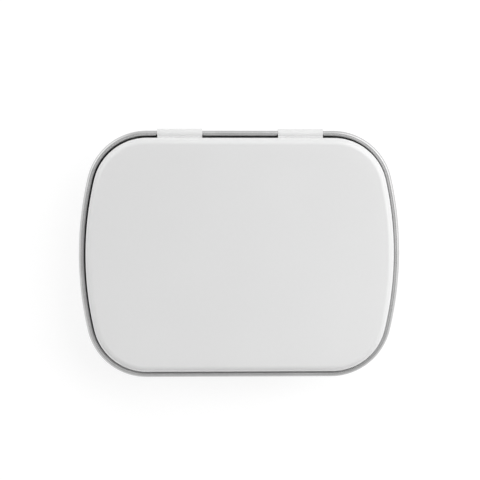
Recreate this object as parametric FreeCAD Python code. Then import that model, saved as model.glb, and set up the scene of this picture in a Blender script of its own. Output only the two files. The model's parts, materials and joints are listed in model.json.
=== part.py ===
import FreeCAD
import Part

import math
import os

from FreeCAD import Vector

# Pocket mint tin, two pieces of tinplate. The base is a stepped pan whose top edge is rolled
# outward into a rim. The white lid drops inside that rim and turns on two lugs, lanced from
# its own skirt, that go over the rim's straight back stretch and in through slots below it.
# Origin at the middle of the underside, X along the hinge, Y towards the hinge, Z up.
# All sizes are in millimetres and all angles in degrees.

# Plan of the rolled rim, measured outside
RIM_LENGTH = 62.0
RIM_WIDTH = 47.7
CORNER_RADIUS = 11.7
SIDE_RADIUS = 65.0

# Sheet and heights
SHEET = 0.28
HEIGHT = 16.0
LID_RISE = 3.0
PLUG_DEPTH = 2.6

# Rolled rim of the base, which is also the hinge pin, and the gap its free edge leaves
BEAD_DIAMETER = 1.05
CURL_CLEARANCE = 0.1

# Ledge that the lid sits on, foot, and the stiffening bead pressed up into the bottom
LEDGE_FLAT = 0.75
LEDGE_INNER_BEND = 0.3
LEDGE_OUTER_BEND = 0.4
FOOT_RADIUS = 2.2
FOOT_RING = 1.2
STIFFENER_RISE = 0.5
STIFFENER_BEND = 0.7

# Lid
LID_GAP = 0.26
LID_EDGE_RADIUS = 1.3
HEM_DIAMETER = 0.9
SEAT_CLEARANCE = 0.05

# Snap pips pressed out of the lid's front skirt, opposite the hinge lugs
PIP_RADIUS = 1.0
PIP_CLEARANCE = 0.08
PIP_DROP = 1.2

# Hinge lugs of the lid and their slots in the base
LUG_WIDTH = 8.65
LUG_END_MARGIN = 1.95
LUG_ROOT_BEND = 0.4
LUG_END_ANGLE = -170.0
TONGUE_STEP = 0.7
HINGE_CLEARANCE = 0.09
SLOT_SIDE_CLEARANCE = 0.2
SLOT_TOP_DROP = 0.1
SLOT_HEIGHT = 0.95
RELIEF_WIDTH = 0.2
OPEN_ANGLE = 105.0
STOP_MARGIN = 1.0

# Plan of the rim: straight front and back, round corners, bowed ends
half_length = RIM_LENGTH / 2
half_width = RIM_WIDTH / 2
corner_y = half_width - CORNER_RADIUS
side_x = half_length - SIDE_RADIUS
corner_x = side_x + math.sqrt((SIDE_RADIUS - CORNER_RADIUS) ** 2 - corner_y**2)
side_angle = math.degrees(math.atan2(corner_y, corner_x - side_x))

# Heights and the hinge axis
half_sheet = SHEET / 2
bead_radius = BEAD_DIAMETER / 2
hem_radius = HEM_DIAMETER / 2
hinge_z = HEIGHT - LID_RISE - bead_radius
hinge_y = half_width - bead_radius
hem_bottom_z = hinge_z - PLUG_DEPTH
ledge_z = hem_bottom_z - SEAT_CLEARANCE
skirt_u = -BEAD_DIAMETER - LID_GAP

# Hinge lugs
lug_inner_radius = bead_radius + HINGE_CLEARANCE
lug_mid_radius = lug_inner_radius + half_sheet
lug_outer_radius = lug_inner_radius + SHEET
lug_x = corner_x - LUG_END_MARGIN - LUG_WIDTH / 2
tongue_width = LUG_WIDTH - 2 * TONGUE_STEP

UP = Vector(0, 0, 1)


class Stretch:
    """One stretch of the rim's plan: straight along `travel`, or an arc about `centre`."""

    def __init__(self, start, outward, travel=None, centre=None, sweep=None):
        self.start = start
        self.outward = outward
        self.travel = travel
        self.centre = centre
        self.sweep = sweep

    def at(self, point):
        """Place a section point (u outward, z up) at the start of the stretch."""
        u, z = point
        return self.start + self.outward * u + UP * z

    def carry(self, points):
        """Carry a section point, line or arc along the stretch."""
        shape = joined([self.at(point) for point in points])
        if self.centre is None:
            return shape.extrude(self.travel)
        return shape.revolve(self.centre, UP, self.sweep)


def joined(places):
    """Vertex, straight edge or arc through one, two or three places."""
    if len(places) == 1:
        return Part.Vertex(places[0])
    if len(places) == 2:
        return Part.LineSegment(*places).toShape()
    return Part.Arc(*places).toShape()


def straight(x, y, travel_x):
    """Straight stretch of the rim from (x, y), facing away from the middle of the tin."""
    return Stretch(Vector(x, y, 0), Vector(0, math.copysign(1, y), 0), travel=Vector(travel_x, 0, 0))


def arc(x, y, radius, first, last):
    """Round stretch of the rim about (x, y), between two angles seen from above."""
    outward = Vector(math.cos(math.radians(first)), math.sin(math.radians(first)), 0)
    centre = Vector(x, y, 0)
    return Stretch(centre + outward * radius, outward, centre=centre, sweep=last - first)


def rim_plan():
    """The rim's stretches, anticlockwise from the front end of its right side."""
    a, x, y, r = side_angle, corner_x, corner_y, CORNER_RADIUS
    return [
        arc(side_x, 0, SIDE_RADIUS, -a, a),
        arc(x, y, r, a, 90),
        straight(x, half_width, -2 * x),
        arc(-x, y, r, 90, 180 - a),
        arc(-side_x, 0, SIDE_RADIUS, 180 - a, 180 + a),
        arc(-x, -y, r, 180 + a, 270),
        straight(-x, -half_width, 2 * x),
        arc(x, -y, r, 270, 360 - a),
    ]


class Section:
    """Middle line of the sheet across the rim, as runs and bends.

    It starts on a circle at the sheet's free edge and travels anticlockwise there. Bend radii
    are to the middle of the sheet, and a turn to the left is positive.
    """

    def __init__(self, centre, radius, angle):
        self.u = centre[0] + radius * math.cos(math.radians(angle))
        self.z = centre[1] + radius * math.sin(math.radians(angle))
        self.heading = angle + 90
        self.steps = []

    def left(self, distance):
        """Point that lies this far to the left of the present one."""
        across = math.radians(self.heading + 90)
        return self.u + distance * math.cos(across), self.z + distance * math.sin(across)

    def walk(self, radius, turn):
        """Move along a bend without drawing it."""
        reach = math.copysign(radius, turn)
        centre = self.left(reach)
        self.heading += turn
        back = math.radians(self.heading - 90)
        self.u = centre[0] + reach * math.cos(back)
        self.z = centre[1] + reach * math.sin(back)

    def run(self, length):
        first = [self.left(side) for side in (half_sheet, -half_sheet)]
        self.u += length * math.cos(math.radians(self.heading))
        self.z += length * math.sin(math.radians(self.heading))
        last = [self.left(side) for side in (half_sheet, -half_sheet)]
        self.steps.append(list(zip(first, last)))

    def bend(self, radius, turn):
        stops = []
        for part in (0, 0.5, 0.5):
            self.walk(radius, turn * part)
            stops.append([self.left(side) for side in (half_sheet, -half_sheet)])
        self.steps.append(list(zip(*stops)))

    def sides(self):
        """The sheet's left and right surfaces, each a list of lines and arcs."""
        return [list(side) for side in zip(*self.steps)]

    def free_edge(self):
        left, right = self.sides()
        return left[0][0], right[0][0]

    def far_edge(self):
        left, right = self.sides()
        return left[-1][-1], right[-1][-1]


def pan(section):
    """Sheet carried once round the rim, with a flat panel across the section's far end."""
    left, right = section.sides()
    stretches = rim_plan()
    faces = [s.carry(points) for s in stretches for points in left + right + [section.free_edge()]]
    for point in section.far_edge():
        outline = Part.Wire([s.carry([point]) for s in stretches])
        faces.append(Part.Face(outline))
    shell = Part.makeShell(faces)
    shell.sewShape()
    return Part.Solid(shell)


def strip(section, width):
    """Straight strip of the sheet, standing on X = 0 and centred there."""
    left, right = section.sides()
    lines = left + [section.far_edge()] + right + [section.free_edge()]
    edges = [joined([Vector(-width / 2, u, z) for u, z in points]) for points in lines]
    return Part.Face(Part.Wire(Part.sortEdges(edges)[0])).extrude(Vector(width, 0, 0))


def block(width, y_low, y_high, z_low, z_high, x):
    """Cutting block centred on x."""
    corner = Vector(x - width / 2, y_low, z_low)
    return Part.makeBox(width, y_high - y_low, z_high - z_low, corner)


def curl(centre, radius, wall_angle):
    """Section that starts with a curl, rolled until its free edge nears the wall it came from."""
    hollow = radius - SHEET - CURL_CLEARANCE
    wrap = 360 - math.degrees(math.acos(hollow / radius))
    section = Section(centre, radius - half_sheet, wall_angle - wrap)
    section.bend(radius - half_sheet, wrap)
    return section


def base_section():
    """Rolled rim, collar, ledge, lower wall, foot and stiffening bead, to the flat underside."""
    section = curl((-bead_radius, hinge_z), bead_radius, 180)
    section.run(section.z - (ledge_z - half_sheet) - LEDGE_INNER_BEND)
    section.bend(LEDGE_INNER_BEND, -90)
    section.run(LEDGE_FLAT)
    section.bend(LEDGE_OUTER_BEND, 90)
    section.run(section.z - FOOT_RADIUS)
    section.bend(FOOT_RADIUS - half_sheet, -90)
    section.run(FOOT_RING)
    slope = math.degrees(math.acos(1 - STIFFENER_RISE / (2 * STIFFENER_BEND)))
    for turn in (-slope, 2 * slope, -slope):
        section.bend(STIFFENER_BEND, turn)
    return section


def lid_section():
    """Inward hem, skirt and rounded edge of the lid, up to its flat face."""
    section = curl((skirt_u - hem_radius, hem_bottom_z + hem_radius), hem_radius, 0)
    section.run(HEIGHT - LID_EDGE_RADIUS - section.z)
    section.bend(LID_EDGE_RADIUS - half_sheet, 90)
    return section


def lug_root():
    """Angle round the hinge axis where the lug leaves its curl, and its height at the skirt."""
    across = half_width + skirt_u - half_sheet + LUG_ROOT_BEND - hinge_y
    rise = math.sqrt((lug_mid_radius + LUG_ROOT_BEND) ** 2 - across**2)
    return math.degrees(math.atan2(rise, across)), hinge_z + rise


def hinge_lug():
    """Lug of the lid: a wide strap over the rim, stepped down to the tongue in the slot.

    The shoulders of the strap meet the collar when the lid is fully open.
    """
    axis = (hinge_y, hinge_z)
    root_angle, _ = lug_root()
    collar_side = bead_radius - SHEET
    stop_angle = -90 - math.degrees(math.asin(collar_side / lug_outer_radius))
    shoulder_angle = stop_angle + OPEN_ANGLE + STOP_MARGIN
    strap = Section(axis, lug_mid_radius, shoulder_angle)
    strap.bend(lug_mid_radius, root_angle - shoulder_angle)
    strap.bend(LUG_ROOT_BEND, -root_angle)
    tongue = Section(axis, lug_mid_radius, LUG_END_ANGLE)
    tongue.bend(lug_mid_radius, shoulder_angle - LUG_END_ANGLE)
    return strip(strap, LUG_WIDTH).fuse(strip(tongue, tongue_width))


def base():
    """Base pan with a slot under the rim for each hinge lug."""
    shape = pan(base_section())
    collar_y = hinge_y - bead_radius
    collar_back = collar_y + SHEET + CURL_CLEARANCE / 2
    slot_top = hinge_z - SLOT_TOP_DROP
    width = tongue_width + 2 * SLOT_SIDE_CLEARANCE
    for x in (-lug_x, lug_x):
        slot = block(width, collar_y - SHEET, collar_back, slot_top - SLOT_HEIGHT, slot_top, x)
        shape = shape.cut(slot)
    return shape


def snap_pip(x):
    """Round pip on the front skirt, and the hollow behind it, both within the sheet's reach."""
    skirt_y = -half_width - skirt_u
    tip_y = skirt_y - (LID_GAP - PIP_CLEARANCE)
    centre = Vector(x, tip_y + PIP_RADIUS, hinge_z - PIP_DROP)
    reach = block(2 * PIP_RADIUS, tip_y, skirt_y + SHEET, hem_bottom_z, hinge_z, x)
    outside = Part.makeSphere(PIP_RADIUS, centre).common(reach)
    hollow = Part.makeSphere(PIP_RADIUS - SHEET, centre).common(reach)
    return outside, hollow


def lid():
    """Lid pan with the hinge lugs at its back and the snap pips at its front."""
    shape = pan(lid_section())
    _, root_z = lug_root()
    skirt_y = half_width + skirt_u
    hem_y = skirt_y - HEM_DIAMETER - SHEET
    for x in (-lug_x, lug_x):
        window = block(LUG_WIDTH + 2 * RELIEF_WIDTH, hem_y, half_width, 0, root_z, x)
        shape = shape.cut(window).fuse(hinge_lug().translated(Vector(x, 0, 0)))
        pip, hollow = snap_pip(x)
        shape = shape.fuse(pip).cut(hollow)
    return shape.removeSplitter()


def main():
    os.makedirs("parts", exist_ok=True)
    for name, shape in {"base": base(), "lid": lid()}.items():
        shape.exportStep(f"parts/{name}.step")
        print(name, "valid" if shape.isValid() else "broken", f"{shape.Volume:.1f} mm3")


main()
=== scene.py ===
import json
import math

import bpy
import numpy as np
from mathutils import Matrix, Vector


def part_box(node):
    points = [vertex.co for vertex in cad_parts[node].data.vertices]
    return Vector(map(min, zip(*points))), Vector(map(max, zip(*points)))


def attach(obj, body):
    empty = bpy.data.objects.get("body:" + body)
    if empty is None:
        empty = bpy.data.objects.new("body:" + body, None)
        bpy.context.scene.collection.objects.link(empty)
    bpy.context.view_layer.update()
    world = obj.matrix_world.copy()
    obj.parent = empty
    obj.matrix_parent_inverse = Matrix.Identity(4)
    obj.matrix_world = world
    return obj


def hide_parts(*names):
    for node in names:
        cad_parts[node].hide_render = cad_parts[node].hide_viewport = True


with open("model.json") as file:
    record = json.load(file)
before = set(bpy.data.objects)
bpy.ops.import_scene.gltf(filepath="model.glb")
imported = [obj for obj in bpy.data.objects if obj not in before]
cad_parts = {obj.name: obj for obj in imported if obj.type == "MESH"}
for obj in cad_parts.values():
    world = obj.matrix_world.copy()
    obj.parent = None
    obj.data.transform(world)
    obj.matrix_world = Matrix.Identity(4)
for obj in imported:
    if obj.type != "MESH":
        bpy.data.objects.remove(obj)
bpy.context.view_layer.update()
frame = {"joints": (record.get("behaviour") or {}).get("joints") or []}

# Base: one blank of bright tinplate, drawn into a stepped pan with a ledge that carries the lid.
# Its top edge is rolled outward into a hollow rim, which is also the hinge pin, and two slots
# are pierced under the rim at the back. It stands on a flat bottom with a pressed ring.

MM = 0.001
SHEET = 0.28 * MM
CURL_GAP = 0.1 * MM
CORNER_RADIUS = 11.7 * MM
SIDE_RADIUS = 65.0 * MM
PLUG_DEPTH = 2.6 * MM
SEAT_CLEARANCE = 0.05 * MM
LEDGE_BENDS = 0.3 * MM, 0.4 * MM
LEDGE_FLAT = 0.75 * MM
FOOT_RADIUS = 2.2 * MM
FOOT_RING = 1.2 * MM
STIFFENER_RISE = 0.5 * MM
STIFFENER_BEND = 0.7 * MM
LUG_WIDTH = 8.65 * MM
LUG_END_MARGIN = 1.95 * MM
TONGUE_STEP = 0.7 * MM
SLOT_CLEARANCE = 0.2 * MM
SLOT_DROPS = 0.1 * MM, 1.05 * MM

SIDE_PIECES = 28
CORNER_PIECES = 24
STRAIGHT_STOPS = 31
CURL_PIECES = 36
PANEL_RINGS = 10
SHARP_EDGE = math.radians(40)

# Its finish: patterns in waves per metre along X, Y and Z, then the rim's creases, gloss and grain.
ROLLING_LINES = 90, 5200, 90
DRAW_LINES = 4200, 4200, 70
SMUDGES = 160, 160, 160
MOTTLE = 900, 900, 900
CREASES_PER_RADIAN = 75
CREASE_FADE = math.radians(12)
LINE_ROUGHNESS = 0.06
SMUDGE_ROUGHNESS = 0.05
GRAIN_DEPTH = 0.02 * MM
GRAIN_STRENGTH = 0.06

quarter = math.pi / 2
hinge = frame["joints"][0]
hinge_y, hinge_z = hinge["pos_m"][1:]
rim_x, rim_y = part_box("base")[1].xy
bead_radius = rim_y - hinge_y
ledge_z = hinge_z - PLUG_DEPTH - SEAT_CLEARANCE
side_x = rim_x - SIDE_RADIUS
corner_y = rim_y - CORNER_RADIUS
corner_x = side_x + math.sqrt((SIDE_RADIUS - CORNER_RADIUS) ** 2 - corner_y**2)
side_angle = math.atan2(corner_y, corner_x - side_x)
lug_x = corner_x - LUG_END_MARGIN - LUG_WIDTH / 2
tongue_width = LUG_WIDTH - 2 * TONGUE_STEP
slot_width = tongue_width + 2 * SLOT_CLEARANCE


def arc(x, y, radius, first, last, pieces):
    """Points and outward directions on an arc: centre plus radius times (cos, sin) of the angle."""
    angle = np.linspace(first, last, pieces, endpoint=False)
    out = np.stack([np.cos(angle), np.sin(angle)], axis=1)
    return np.array([x, y]) + radius * out, out


def straight(stops, side):
    """Points on the straight front or back, at the given x, and their outward direction."""
    place = np.stack([stops, np.full(len(stops), side * rim_y)], axis=1)
    return place, np.tile([0.0, side], (len(stops), 1))


def rim_line(back_edges, front_edges):
    """The rim's outermost line from above, anticlockwise from the front end of the right side.

    Bowed ends, round corners and straight front and back, each tangent to the next. The edges
    are extra x positions where a slot, window, lug or pip starts.
    """
    even = np.linspace(-corner_x, corner_x, STRAIGHT_STOPS)
    back = np.unique(np.concatenate([even, back_edges]))[::-1][:-1]
    front = np.unique(np.concatenate([even, front_edges]))[:-1]
    a, half = side_angle, math.pi
    pieces = [
        arc(side_x, 0, SIDE_RADIUS, -a, a, SIDE_PIECES),
        arc(corner_x, corner_y, CORNER_RADIUS, a, quarter, CORNER_PIECES),
        straight(back, 1),
        arc(-corner_x, corner_y, CORNER_RADIUS, quarter, half - a, CORNER_PIECES),
        arc(-side_x, 0, SIDE_RADIUS, half - a, half + a, SIDE_PIECES),
        arc(-corner_x, -corner_y, CORNER_RADIUS, half + a, 3 * quarter, CORNER_PIECES),
        straight(front, -1),
        arc(corner_x, -corner_y, CORNER_RADIUS, 3 * quarter, 2 * half - a, CORNER_PIECES),
    ]
    return [np.concatenate(part) for part in zip(*pieces)]


def both_lugs(offsets):
    """The x positions that lie at these offsets from the middle of each hinge lug."""
    return np.add.outer([-lug_x, lug_x], offsets).ravel()


def bend(radius, turn, pieces):
    """Step of a section along an arc, for the turn in radians, left positive."""
    return radius * abs(turn), turn, pieces


def section(start, heading, steps):
    """Middle line of the sheet across the rim, with u outward and z up, and its headings.

    Each step is a length, a turn and a number of pieces. After a length s of a step whose turn
    per length is k, the point lies along the heading plus k s / 2, at s sinc(k s / 2).
    """
    points = [np.array([start])]
    headings = [np.array([heading])]
    for length, turn, pieces in steps:
        s = np.linspace(0, length, pieces + 1)[1:]
        half_turn = turn * s / length / 2
        way = headings[-1][-1] + half_turn
        chord = s * np.sinc(half_turn / np.pi)
        reach = chord[:, None] * np.stack([np.cos(way), np.sin(way)], axis=1)
        points.append(points[-1][-1] + reach)
        headings.append(way + half_turn)
    return np.concatenate(points), np.concatenate(headings)


def step_ends(steps):
    """Row of the section's grid at which each of its steps ends."""
    return np.cumsum([pieces for length, turn, pieces in steps])


def curl_start(centre, radius, wall_angle):
    """First point, heading and bend of a curl that rolls back towards the wall it came from."""
    wrap = 2 * math.pi - math.acos((radius - SHEET - CURL_GAP) / radius)
    angle = wall_angle - wrap
    mid_radius = radius - SHEET / 2
    start = centre[0] + mid_radius * math.cos(angle), centre[1] + mid_radius * math.sin(angle)
    return start, angle + quarter, bend(mid_radius, wrap, CURL_PIECES)


def faces_of(points, headings, side):
    """The section's points moved half a sheet to its right (1) or left (-1)."""
    across = np.stack([np.sin(headings), -np.cos(headings)], axis=1)
    return points + side * SHEET / 2 * across


def carried(line, rim):
    """Grid of a section line carried round the rim: rim point plus u times outward, at height z."""
    place, out = rim
    flat = place[None] + line[:, None, :1] * out[None]
    height = np.broadcast_to(line[:, None, 1:], flat.shape[:2] + (1,))
    return np.concatenate([flat, height], axis=2)


def with_panel(grid):
    """The grid with a flat panel across its last row: rings shrunk evenly towards the middle."""
    share = np.linspace(1, 0, PANEL_RINGS + 1)[1:-1]
    panel = grid[-1][None] * np.stack([share, share, np.ones_like(share)], axis=1)[:, None]
    return np.concatenate([grid, panel])


def pan_sides(line, rim):
    """Both sides of a pan with its panel, as vertex lists that end in the panel's middle."""
    sides = []
    for side in (1, -1):
        grid = with_panel(carried(faces_of(*line, side), rim))
        middle = np.array([[0, 0, grid[-1, 0, 2]]])
        sides.append(np.concatenate([grid.reshape(-1, 3), middle]))
    return sides, np.arange(grid[..., 0].size).reshape(grid.shape[:2])


def quads(index):
    """Faces between the neighbouring rows and columns of a grid of vertex numbers."""
    return np.stack([index[:-1, :-1], index[:-1, 1:], index[1:, 1:], index[1:, :-1]], axis=2)


def ring_quads(index):
    """Faces of a grid whose last column joins its first."""
    return quads(np.column_stack([index, index[:, 0]]))


def back_columns(rim):
    """The x of the middle of each column of faces, and which of them lie on the straight back."""
    middle = (rim[0][:, 0] + np.roll(rim[0][:, 0], -1)) / 2
    return middle, rim[1][:, 1] == 1


def closed_sheet(name, right, left, cells, cell_finish, middle, materials):
    """Mesh of a sheet from its two sides, which share their vertex numbers.

    The left side has its faces turned round, and a strip joins the sides along every edge that
    only one face uses. The last vertex closes the panel with a fan over the ring `middle`. The
    materials are the right side's, the left side's and the strips', then those that cell_finish
    gives to single cells of the right side.
    """
    count = len(right)
    fan = np.stack([middle, np.roll(middle, -1), np.full(len(middle), count - 1)], axis=1)
    around = np.stack([cells, np.roll(cells, -1, axis=1)], axis=2).reshape(-1, 2)
    directed = np.concatenate([around, fan[:, :2]])
    pairs = np.sort(directed, axis=1)
    _, which, uses = np.unique(pairs, axis=0, return_inverse=True, return_counts=True)
    a, b = directed[uses[which.ravel()] == 1].T
    strips = np.stack([b, a, a + count, b + count], axis=1)
    polygons = [cells, fan, cells[:, ::-1] + count, fan[:, ::-1] + count, strips]
    slots = np.repeat([0, 0, 1, 1, 2], [len(part) for part in polygons])
    slots[: len(cells)] = cell_finish
    corners = np.concatenate([part.ravel() for part in polygons])
    used, renumbered = np.unique(corners, return_inverse=True)
    cuts = np.cumsum([part.size for part in polygons])[:-1]
    numbers = np.split(renumbered.ravel(), cuts)
    parts = [part.reshape(old.shape).tolist() for part, old in zip(numbers, polygons)]
    mesh = bpy.data.meshes.new(name)
    mesh.from_pydata(np.concatenate([right, left])[used].tolist(), [], sum(parts, []))
    mesh.polygons.foreach_set("material_index", slots)
    mesh.shade_smooth()
    mesh.set_sharp_from_angle(angle=SHARP_EDGE)
    for material in materials:
        mesh.materials.append(material)
    piece = bpy.data.objects.new(name, mesh)
    bpy.context.scene.collection.objects.link(piece)
    return piece


class Tone:
    """One output of a material's nodes. Arithmetic on tones and numbers adds Math nodes."""

    def __init__(self, tree, socket=None):
        self.tree = tree
        self.socket = socket

    def node(self, kind, settings=None, output=0, **inputs):
        """Add a node: its settings first, then the values or links of its inputs."""
        made = self.tree.nodes.new(kind)
        for name, value in (settings or {}).items():
            setattr(made, name, value)
        self.feed(made, **inputs)
        return Tone(self.tree, made.outputs[output])

    def feed(self, node, **inputs):
        """Give inputs their values or links. Underscores stand for spaces, i2 for number 2."""
        for name, value in inputs.items():
            socket = node.inputs[int(name[1:]) if name[1:].isdigit() else name.replace("_", " ")]
            if isinstance(value, Tone):
                self.tree.links.new(value.socket, socket)
            else:
                socket.default_value = value

    def math(self, operation, first, second):
        """One Math node on two tones or numbers."""
        return self.node("ShaderNodeMath", {"operation": operation}, i0=first, i1=second)

    def __add__(self, other):
        return self.math("ADD", self, other)

    __radd__ = __add__

    def __sub__(self, other):
        return self.math("SUBTRACT", self, other)

    def __rsub__(self, other):
        return self.math("SUBTRACT", other, self)

    def __mul__(self, other):
        return self.math("MULTIPLY", self, other)

    __rmul__ = __mul__

    def __abs__(self):
        return self.math("MAXIMUM", self, 0 - self)

    def part(self, axis):
        """One coordinate of a vector, by its number."""
        return self.node("ShaderNodeSeparateXYZ", output=axis, Vector=self)

    def noise(self, scale, detail):
        """Noise over a place, with its own scale along each axis, in waves per unit."""
        stretched = self.node("ShaderNodeVectorMath", {"operation": "MULTIPLY"}, i0=self, i1=scale)
        return self.node("ShaderNodeTexNoise", Vector=stretched, Scale=1.0, Detail=detail)

    def band(self, low, high):
        """Smooth step from 0 at low to 1 at high."""
        settings = {"interpolation_type": "SMOOTHSTEP"}
        return self.node("ShaderNodeMapRange", settings, Value=self, From_Min=low, From_Max=high)

    def blend(self, low, high):
        """Grey between two levels, by this tone."""
        greys = {"i6": grey(low), "i7": grey(high)}
        return self.node("ShaderNodeMix", {"data_type": "RGBA"}, output=2, Factor=self, **greys)

    def relief(self):
        """Normal of a fine grain whose height is this tone."""
        depth = {"Strength": GRAIN_STRENGTH, "Distance": GRAIN_DEPTH}
        return self.node("ShaderNodeBump", Height=self, **depth)


def grey(level):
    """Opaque grey of one level."""
    return level, level, level, 1


def new_finish(name):
    """A material, its main shader and the object's own coordinates."""
    material = bpy.data.materials.new(name)
    material.use_nodes = True
    tree = material.node_tree
    shader = tree.nodes["Principled BSDF"]
    place = Tone(tree).node("ShaderNodeTexCoord", output="Object")
    return material, shader, place


def rim_creases(place):
    """Fine creases across the rolled rim at its corners, where the curl was gathered in.

    They are noise along the angle about the corner's centre, faded out where the corner ends.
    """
    turn = place.math("ARCTAN2", abs(place.part(1)) - corner_y, abs(place.part(0)) - corner_x)
    past_side = turn.band(side_angle, side_angle + CREASE_FADE)
    past_corner = turn.band(quarter - CREASE_FADE, quarter)
    on_rim = place.part(2).band(hinge_z - bead_radius, hinge_z - bead_radius / 2)
    crossing = place.node("ShaderNodeCombineXYZ", X=turn)
    crease = crossing.noise((CREASES_PER_RADIAN, 0, 0), 2.0).band(0.5, 0.75)
    return crease * past_side * (1 - past_corner) * on_rim


def tinplate(name, bright, dull, roughness):
    """Tinplate: rolling lines along X on flat stretches, draw lines up the walls, and rim creases
    bumped and painted darker as shade.
    """
    material, shader, place = new_finish(name)
    upright = place.node("ShaderNodeTexCoord", output="Normal").part(2)
    flat = (upright * upright).band(0.2, 0.8)
    lines = flat * place.noise(ROLLING_LINES, 3.0) + (1 - flat) * place.noise(DRAW_LINES, 3.0)
    smudge = place.noise(SMUDGES, 3.0).band(0.42, 0.66)
    mottle = place.noise(MOTTLE, 2.0)
    crease = rim_creases(place)
    # Along the rim's creases the tint is darker: painted shade in the creases, on top of their bump
    # below.
    tint = (lines * 0.5 + mottle * 0.3 + smudge * 0.2 - crease * 0.35).band(0.25, 0.75)
    grain = (lines + mottle * 0.4 - crease * 1.5).relief()
    place.feed(shader, Base_Color=tint.blend(dull, bright), Metallic=1.0, Normal=grain)
    place.feed(shader, Roughness=roughness + lines * LINE_ROUGHNESS + smudge * SMUDGE_ROUGHNESS)
    return material


base_rim = rim_line(both_lugs([-slot_width / 2, slot_width / 2]), [])
rim_start, rim_heading, rim_curl = curl_start((-bead_radius, hinge_z), bead_radius, math.pi)
slope = math.acos(1 - STIFFENER_RISE / (2 * STIFFENER_BEND))
collar_foot = ledge_z - SHEET / 2 + LEDGE_BENDS[0]
wall_top = ledge_z - SHEET / 2 - LEDGE_BENDS[1]
base_steps = [
    rim_curl,
    (SLOT_DROPS[0], 0, 1),
    (SLOT_DROPS[1] - SLOT_DROPS[0], 0, 3),
    (hinge_z - SLOT_DROPS[1] - collar_foot, 0, 3),
    bend(LEDGE_BENDS[0], -quarter, 8),
    (LEDGE_FLAT, 0, 2),
    bend(LEDGE_BENDS[1], quarter, 8),
    (wall_top - FOOT_RADIUS, 0, 8),
    bend(FOOT_RADIUS - SHEET / 2, -quarter, 14),
    (FOOT_RING, 0, 2),
    bend(STIFFENER_BEND, -slope, 6),
    bend(STIFFENER_BEND, 2 * slope, 12),
    bend(STIFFENER_BEND, -slope, 6),
]
base_ends = step_ends(base_steps)
base_line = section(rim_start, rim_heading, base_steps)
(base_right, base_left), base_index = pan_sides(base_line, base_rim)

base_cells = ring_quads(base_index)
base_row = np.arange(len(base_cells))
column_x, at_back = back_columns(base_rim)
slot_column = at_back & (np.abs(np.abs(column_x) - lug_x) < slot_width / 2)
slot_row = (base_row >= base_ends[1]) & (base_row < base_ends[2])
kept = ~(slot_row[:, None] & slot_column)

bright_tin = tinplate("bright_tinplate", bright=0.64, dull=0.57, roughness=0.15)
cut_steel = tinplate("cut_edge", bright=0.46, dull=0.36, roughness=0.38)
# Dark, dull tinplate for the seat: painted shade that darkens the gap between lid and rim, on the
# ledge where the lid sits.
rubbed_seat = tinplate("rubbed_seat", bright=0.30, dull=0.22, roughness=0.55)
base_finishes = [bright_tin, bright_tin, cut_steel, rubbed_seat]
# The seat's rows, from the collar's foot over the ledge and its bends, take this painted shade.
seat_row = (base_row >= base_ends[3]) & (base_row < base_ends[6])
row_finish = np.where(seat_row, base_finishes.index(rubbed_seat), 0)
cell_finish = np.broadcast_to(row_finish[:, None], kept.shape)[kept]
base = closed_sheet(
    "base_pan", base_right, base_left, base_cells[kept], cell_finish, base_index[-1], base_finishes
)
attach(base, "base")
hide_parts("base")

# Lid: one blank of tinplate, enamelled white outside and bare inside, drawn into a shallow pan
# with a hem rolled inward at the foot of its skirt. Two lugs lanced out of the skirt go over the
# rim and in through the base's slots, and two pips at the front rub on the collar to hold it shut.

LID_GAP = 0.26 * MM
LID_EDGE_RADIUS = 1.3 * MM
HEM_RADIUS = 0.45 * MM
LUG_RELIEF = 0.2 * MM
LUG_ROOT_BEND = 0.4 * MM
HINGE_CLEARANCE = 0.09 * MM
TONGUE_END = math.radians(-170)
STOP_MARGIN = math.radians(1)
PIP_RADIUS = 1.0 * MM
PIP_CLEARANCE = 0.08 * MM
PIP_DROP = 1.2 * MM
PIP_PIECES = 16

# Its enamel: patterns in waves per metre along X, Y and Z, then the greys and the gloss.
ENAMEL_PEEL = 1500, 1500, 1500
ENAMEL_WAVES = 110, 110, 110
ENAMEL_CLOUDS = 45, 45, 45
ENAMEL_GREYS = 0.72, 0.74
ENAMEL_ROUGHNESS = 0.15
CLOUD_ROUGHNESS = 0.1
COAT_ROUGHNESS = 0.08

lid_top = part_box("lid")[1].z
skirt_u = -2 * bead_radius - LID_GAP
hem_centre = skirt_u - HEM_RADIUS, hinge_z - PLUG_DEPTH + HEM_RADIUS
pip_z = hinge_z - PIP_DROP
pip_height = LID_GAP - PIP_CLEARANCE
pip_reach = math.sqrt(PIP_RADIUS**2 - (PIP_RADIUS - pip_height) ** 2)

lug_mid_radius = bead_radius + HINGE_CLEARANCE + SHEET / 2
lug_outer_radius = lug_mid_radius + SHEET / 2
root_across = rim_y + skirt_u - SHEET / 2 + LUG_ROOT_BEND - hinge_y
root_rise = math.sqrt((lug_mid_radius + LUG_ROOT_BEND) ** 2 - root_across**2)
root_angle = math.atan2(root_rise, root_across)
stop_angle = -quarter - math.asin((bead_radius - SHEET) / lug_outer_radius)
shoulder_angle = stop_angle + math.radians(hinge["range_deg"][1]) + STOP_MARGIN

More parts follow.
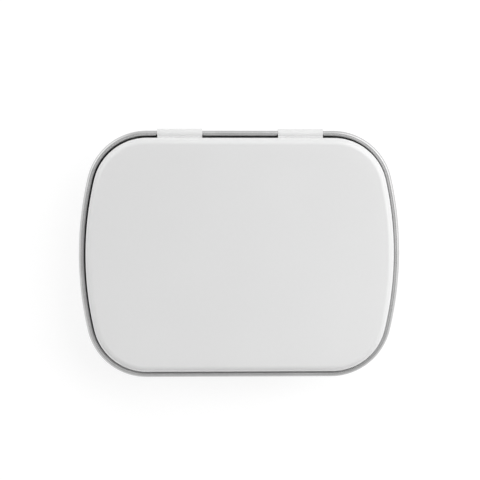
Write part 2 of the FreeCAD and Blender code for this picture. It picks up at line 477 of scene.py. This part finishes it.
lug_edges = np.array([LUG_WIDTH / 2 + LUG_RELIEF, LUG_WIDTH / 2, tongue_width / 2])
pip_stops = np.linspace(-pip_reach, pip_reach, PIP_PIECES + 1)
lid_rim = rim_line(both_lugs(np.concatenate([lug_edges, -lug_edges])), both_lugs(pip_stops))
hem_start, hem_heading, hem_curl = curl_start(hem_centre, HEM_RADIUS, 0)
lid_steps = [
    hem_curl,
    (pip_z - pip_reach - hem_centre[1], 0, 1),
    (2 * pip_reach, 0, PIP_PIECES),
    (hinge_z + root_rise - pip_z - pip_reach, 0, 3),
    (lid_top - LID_EDGE_RADIUS - hinge_z - root_rise, 0, 3),
    bend(LID_EDGE_RADIUS - SHEET / 2, quarter, 14),
]
root_row = step_ends(lid_steps)[3]
lid_line = section(hem_start, hem_heading, lid_steps)
(lid_right, lid_left), lid_index = pan_sides(lid_line, lid_rim)


def press_pips(points):
    """Push the front skirt out into two round pips: height sqrt(R2 - d2) - (R - h) within reach."""
    across = np.abs(np.abs(points[:, 0]) - lug_x)
    distance = np.hypot(across, points[:, 2] - pip_z)
    cap = np.sqrt(np.maximum(PIP_RADIUS**2 - distance**2, 0)) - (PIP_RADIUS - pip_height)
    behind_skirt = rim_y + skirt_u - 1.5 * SHEET
    on_skirt = points[:, 1] < -behind_skirt
    points[:, 1] -= np.where(on_skirt & (distance < pip_reach), cap, 0)


press_pips(lid_right)
press_pips(lid_left)

lid_cells = ring_quads(lid_index)
column_x, at_back = back_columns(lid_rim)
window_column = at_back & (np.abs(np.abs(column_x) - lug_x) < LUG_WIDTH / 2 + LUG_RELIEF)
window_row = np.arange(len(lid_cells)) < root_row
lid_cells = [lid_cells[~(window_row[:, None] & window_column)]]

# The hinge lugs: each is a strip of the same sheet that starts at the tongue's end inside the base,
# goes round the rim and bends up into the skirt, where it shares the skirt's own vertices.

tongue_start = (
    hinge_y - rim_y + lug_mid_radius * math.cos(TONGUE_END),
    hinge_z + lug_mid_radius * math.sin(TONGUE_END),
)
lug_steps = [
    bend(lug_mid_radius, shoulder_angle - TONGUE_END, 26),
    bend(lug_mid_radius, root_angle - shoulder_angle, 18),
    bend(LUG_ROOT_BEND, -root_angle, 14),
]
shoulder_row = step_ends(lug_steps)[0]
lug_line = section(tongue_start, TONGUE_END + quarter, lug_steps)
lid_sides = [lid_right[:-1], lid_left[:-1]]
for middle_x in (-lug_x, lug_x):
    near = np.abs(lid_rim[0][:, 0] - middle_x) < (LUG_WIDTH + LUG_RELIEF) / 2
    columns = np.flatnonzero(near & at_back)
    lug_rim = lid_rim[0][columns], lid_rim[1][columns]
    grids = [carried(faces_of(*lug_line, side), lug_rim)[:-1] for side in (1, -1)]
    number = len(lid_sides[0]) + np.arange(grids[0][..., 0].size).reshape(grids[0].shape[:2])
    lid_sides = [np.concatenate([old, grid.reshape(-1, 3)]) for old, grid in zip(lid_sides, grids)]
    cells = quads(np.concatenate([number, lid_index[root_row : root_row + 1, columns]]))
    in_tongue = np.abs(column_x[columns[:-1]] - middle_x) < tongue_width / 2
    past_shoulder = np.arange(len(cells)) >= shoulder_row
    lid_cells.append(cells[past_shoulder[:, None] | in_tongue])
panel_middles = lid_right[-1:], lid_left[-1:]
lid_right, lid_left = [np.concatenate(ends) for ends in zip(lid_sides, panel_middles)]


def enamel(name):
    """White stoving enamel: a fine orange-peel skin, slow waves and barely uneven gloss."""
    material, shader, place = new_finish(name)
    peel = place.noise(ENAMEL_PEEL, 2.0)
    wave = place.noise(ENAMEL_WAVES, 1.0)
    cloud = place.noise(ENAMEL_CLOUDS, 2.0)
    skin = (peel + wave * 0.8).relief()
    tint = (cloud * 0.7 + peel * 0.3).band(0.2, 0.8)
    place.feed(shader, Base_Color=tint.blend(*ENAMEL_GREYS), Normal=skin)
    place.feed(shader, Roughness=ENAMEL_ROUGHNESS + cloud * CLOUD_ROUGHNESS)
    place.feed(shader, Coat_Weight=1.0, Coat_Roughness=COAT_ROUGHNESS)
    return material


lid_finishes = [enamel("white_enamel"), bright_tin, cut_steel]
lid = closed_sheet(
    "lid_pan", lid_right, lid_left, np.concatenate(lid_cells), 0, lid_index[-1], lid_finishes
)
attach(lid, "lid")
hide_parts("lid")

# Studio: a plain white floor under the tin, in a pale room. A broad soft key lamp hangs at the back
# on the right, and weaker ones at the back, on the left and close by on the right fill the edges.
# The tin mirrors the room and two dim softboxes in it. The camera looks nearly straight down.

FLOOR_SIZE = 2.4
FLOOR_GLOW = 0.65
GLOW_STRENGTH = 1.15
PAPER_FIBRE = 700, 700, 700
PAPER_GREYS = 0.89, 0.91
PAPER_ROUGHNESS = 0.9
ROOM_LIGHT = 0.376
WALL_TONE = 0.75
SIDE_GLOW = 0.2
SIDE_EDGES = 0.0, 0.9
CEILING_SHADE = 0.21
CEILING_EDGES = 0.5, 0.98
RIGHT_SOFTBOX = 0.9
LEFT_SOFTBOX = 0.6
LAMP_SPREAD = math.radians(50)
SEEING_RAYS = "Camera", "Glossy", "Transmission"
FRAME_WIDTH = 92.68 * MM
VIEW_DISTANCE = 0.45
VIEW_TILT = math.radians(4.5)
VIEW_SWING = math.radians(-3.1)
VIEW_ROLL = math.radians(0.18)
VIEW_MIDDLE = 0.07 * MM, 2.74 * MM, hinge_z

floor_corner = FLOOR_SIZE / 2
floor_mesh = bpy.data.meshes.new("floor")
floor_mesh.from_pydata(
    [(x * floor_corner, y * floor_corner, 0) for x, y in ((-1, -1), (1, -1), (1, 1), (-1, 1))],
    [],
    [(0, 1, 2, 3)],
)
floor = bpy.data.objects.new("floor", floor_mesh)
bpy.context.scene.collection.objects.link(floor)


def seen_directly(tone):
    """1 for what the camera or a reflection sees, and 0 for what only lights other surfaces."""
    rays = [tone.node("ShaderNodeLightPath", output=f"Is {ray} Ray") for ray in SEEING_RAYS]
    return tone.math("MINIMUM", rays[0] + rays[1] + rays[2], 1.0)


def white_paper(name):
    """Matt white floor. To the camera and in reflections a white glow takes over part of it."""
    material, shader, place = new_finish(name)
    fibre = place.noise(PAPER_FIBRE, 2.0).blend(*PAPER_GREYS)
    place.feed(shader, Base_Color=fibre, Roughness=PAPER_ROUGHNESS, Specular_IOR_Level=0.0)
    glow = place.node("ShaderNodeEmission", Color=grey(1), Strength=GLOW_STRENGTH)
    lift = seen_directly(place) * FLOOR_GLOW
    paper = Tone(place.tree, shader.outputs[0])
    seen = place.node("ShaderNodeMixShader", Fac=lift, i1=paper, i2=glow)
    place.feed(place.tree.nodes["Material Output"], Surface=seen)
    return material


floor_mesh.materials.append(white_paper("white_paper"))


def away(bearing, height):
    """The direction at a bearing round Z and a height above the floor, in degrees."""
    level = math.cos(math.radians(height))
    turn = math.radians(bearing)
    return Vector((level * math.cos(turn), level * math.sin(turn), math.sin(math.radians(height))))


def softbox(way, bearing, height, outer, inner):
    """A round softbox as the tin mirrors it: 1 within the inner angle, 0 beyond the outer one."""
    settings = {"operation": "DOT_PRODUCT"}
    centre = tuple(away(bearing, height))
    nearness = way.node("ShaderNodeVectorMath", settings, output="Value", i0=way, i1=centre)
    return nearness.band(math.cos(math.radians(outer)), math.cos(math.radians(inner)))


world = bpy.data.worlds.new("white_room")
bpy.context.scene.world = world
world.use_nodes = True
room = Tone(world.node_tree)
way = room.node("ShaderNodeTexCoord", output="Generated")
walls = WALL_TONE + abs(way.part(0)).band(*SIDE_EDGES) * SIDE_GLOW
right_box = softbox(way, bearing=36, height=45, outer=42, inner=18) * RIGHT_SOFTBOX
left_box = softbox(way, bearing=140, height=36, outer=34, inner=12) * LEFT_SOFTBOX
shown = walls - way.part(2).band(*CEILING_EDGES) * CEILING_SHADE + right_box + left_box
shade = ROOM_LIGHT + seen_directly(room) * (shown - ROOM_LIGHT)
room.feed(world.node_tree.nodes["Background"], Color=grey(1), Strength=shade)


def aim(thing, place, target, roll=0.0):
    """Put a lamp or camera at a place, facing a target, with +Y, turned by the roll, upward."""
    back = (place - target).normalized()
    right = Vector((-math.sin(roll), math.cos(roll), 0)).cross(back).normalized()
    thing.location = place
    thing.rotation_euler = Matrix((right, back.cross(right), back)).transposed().to_euler()


def lamp(name, kind, bearing, height, distance, energy):
    """A lamp that shines on the lid from this direction. The tin does not mirror it."""
    data = bpy.data.lights.new(name, kind)
    data.energy = energy
    made = bpy.data.objects.new(name, data)
    made.visible_glossy = False
    bpy.context.scene.collection.objects.link(made)
    target = Vector((0, 0, lid_top))
    aim(made, target + distance * away(bearing, height), target)
    return data


def soft_sun(name, bearing, height, energy):
    """A far, broad lamp: its light comes from a disc as wide as LAMP_SPREAD."""
    lamp(name, "SUN", bearing, height, distance=1.0, energy=energy).angle = LAMP_SPREAD


soft_sun("key", bearing=36, height=49, energy=1.07)
soft_sun("back_glow", bearing=90, height=25, energy=0.81)
soft_sun("left_glow", bearing=180, height=36, energy=0.86)
lamp("right_glow", "AREA", bearing=0, height=25, distance=0.15, energy=0.072).size = 0.10

camera_data = bpy.data.cameras.new("camera")
camera_data.lens = camera_data.sensor_width * VIEW_DISTANCE / FRAME_WIDTH
camera = bpy.data.objects.new("camera", camera_data)
bpy.context.scene.collection.objects.link(camera)
view_middle = Vector(VIEW_MIDDLE)
view_way = Vector((math.sin(VIEW_SWING), math.sin(VIEW_TILT), math.cos(VIEW_TILT))).normalized()
aim(camera, view_middle + VIEW_DISTANCE * view_way, view_middle, VIEW_ROLL)
bpy.context.scene.camera = camera
bpy.context.scene.view_settings.view_transform = "Standard"
